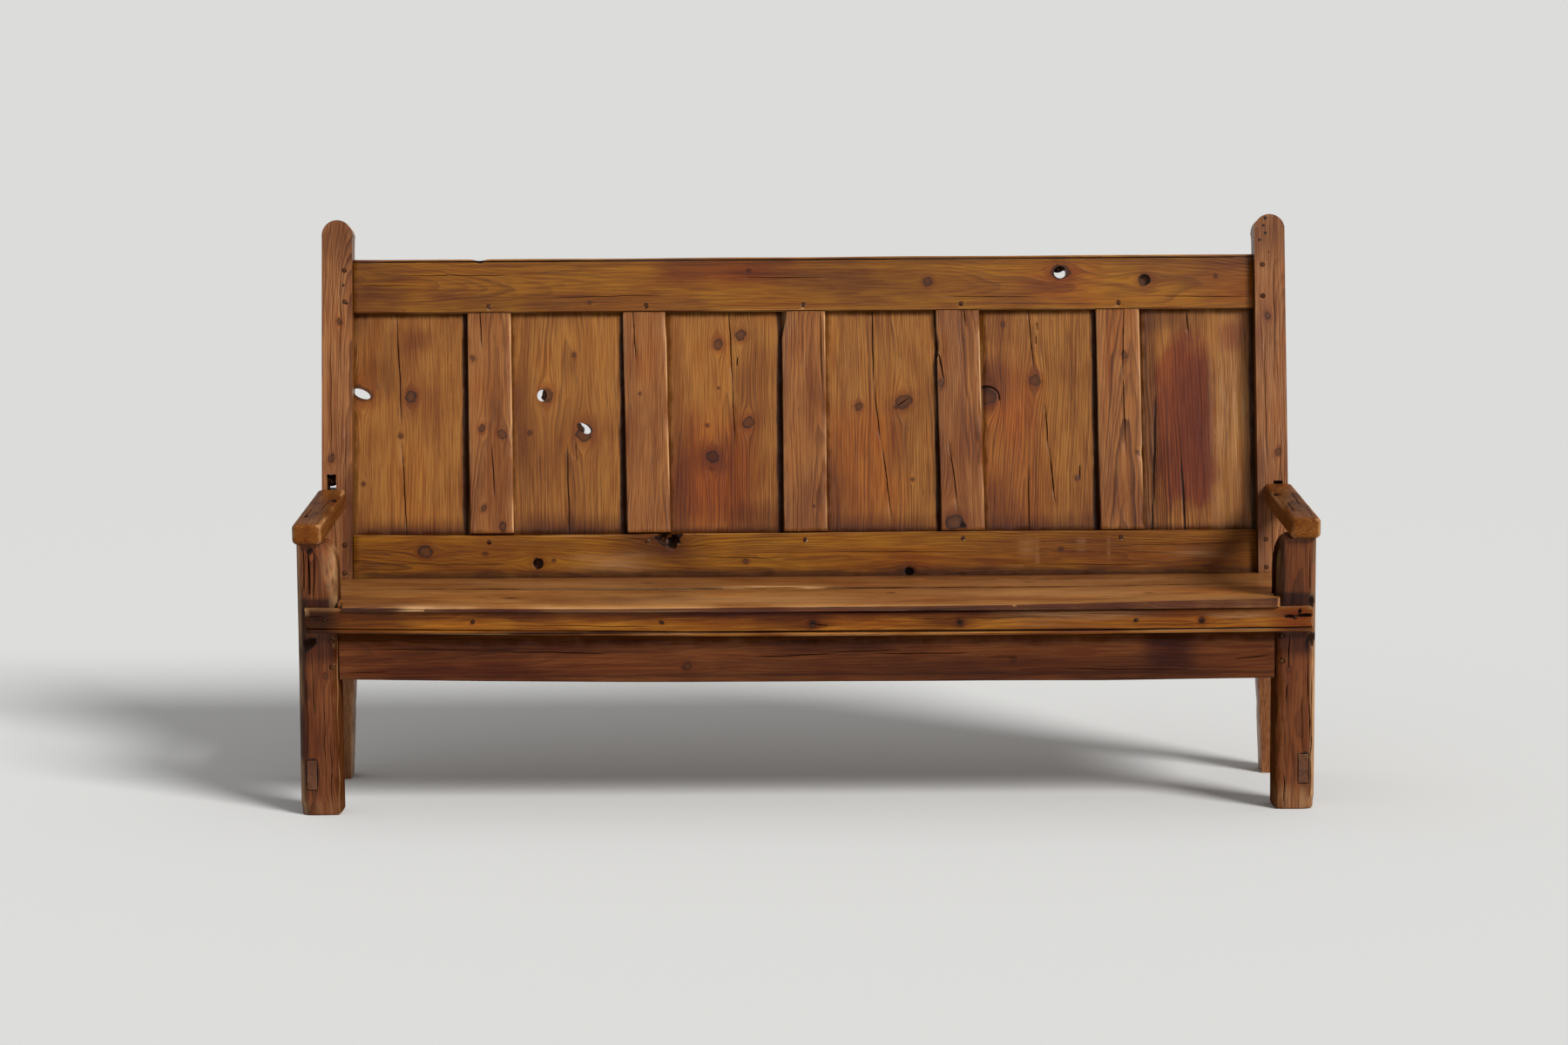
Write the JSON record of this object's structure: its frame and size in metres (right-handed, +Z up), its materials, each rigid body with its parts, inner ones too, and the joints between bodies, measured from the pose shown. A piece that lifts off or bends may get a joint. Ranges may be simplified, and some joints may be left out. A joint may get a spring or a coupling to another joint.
{
  "type": "settle bench",
  "caption": "Long old pine settle with a seat on four posts, a leaning back of panels between muntins, open sloping arms and a beaded rail over a deep apron.",
  "frame": {"origin": "on the floor, under the middle of the bench's outer box", "axes": "+X along the bench, to the right as seen from the front, +Y from front to back, +Z up"},
  "size_m": [2.132, 0.646, 1.219],
  "materials": {
    "pine_post": "aged waxed pine, fissured, satin",
    "pine_arm": "aged waxed pine, hand polished",
    "pine_frame": "aged waxed pine, satin",
    "pine_panel": "aged waxed pine with knots and stains, satin",
    "pine_seat": "aged waxed pine, worn, satin",
    "pine_apron": "dark aged waxed pine, satin",
    "pine_rough": "sawn unwaxed pine, dusty",
    "wood_peg": "darkened end grain",
    "wood_plug": "darkened end grain",
    "iron_nail": "rusted hand-made nail"
  },
  "bodies": {
    "root": {"apron_peg_left_1": "wood_peg", "apron_peg_left_2": "wood_peg", "apron_peg_right_1": "wood_peg", "apron_peg_right_2": "wood_peg", "arm_left": "pine_arm", "arm_right": "pine_arm", "bead_nail_1": "iron_nail", "bead_nail_2": "iron_nail", "bead_nail_3": "iron_nail", "bead_nail_4": "iron_nail", "bead_nail_5": "iron_nail", "front_apron": "pine_apron", "front_bead_rail": "pine_frame", "front_post_left": "pine_post", "front_post_right": "pine_post", "lower_back_rail": "pine_frame", "mortise_plug_left": "wood_plug", "mortise_plug_right": "wood_plug", "muntin_1": "pine_frame", "muntin_2": "pine_frame", "muntin_3": "pine_frame", "muntin_4": "pine_frame", "muntin_5": "pine_frame", "muntin_peg_low_1": "wood_peg", "muntin_peg_low_2": "wood_peg", "muntin_peg_low_3": "wood_peg", "muntin_peg_low_4": "wood_peg", "muntin_peg_low_5": "wood_peg", "muntin_peg_top_1": "wood_peg", "muntin_peg_top_2": "wood_peg", "muntin_peg_top_3": "wood_peg", "muntin_peg_top_4": "wood_peg", "muntin_peg_top_5": "wood_peg", "panel_1": "pine_panel", "panel_2": "pine_panel", "panel_3": "pine_panel", "panel_4": "pine_panel", "panel_5": "pine_panel", "panel_6": "pine_panel", "post_peg_left_1": "wood_peg", "post_peg_left_2": "wood_peg", "post_peg_left_3": "wood_peg", "post_peg_left_4": "wood_peg", "post_peg_right_1": "wood_peg", "post_peg_right_2": "wood_peg", "post_peg_right_3": "wood_peg", "post_peg_right_4": "wood_peg", "rear_post_left": "pine_post", "rear_post_right": "pine_post", "rear_seat_rail": "pine_rough", "seat_bearer_1": "pine_rough", "seat_bearer_2": "pine_rough", "seat_bearer_3": "pine_rough", "seat_board_front": "pine_seat", "seat_board_rear": "pine_seat", "side_seat_rail_left": "pine_rough", "side_seat_rail_right": "pine_rough", "top_rail": "pine_frame"}
  },
  "joints": []
}
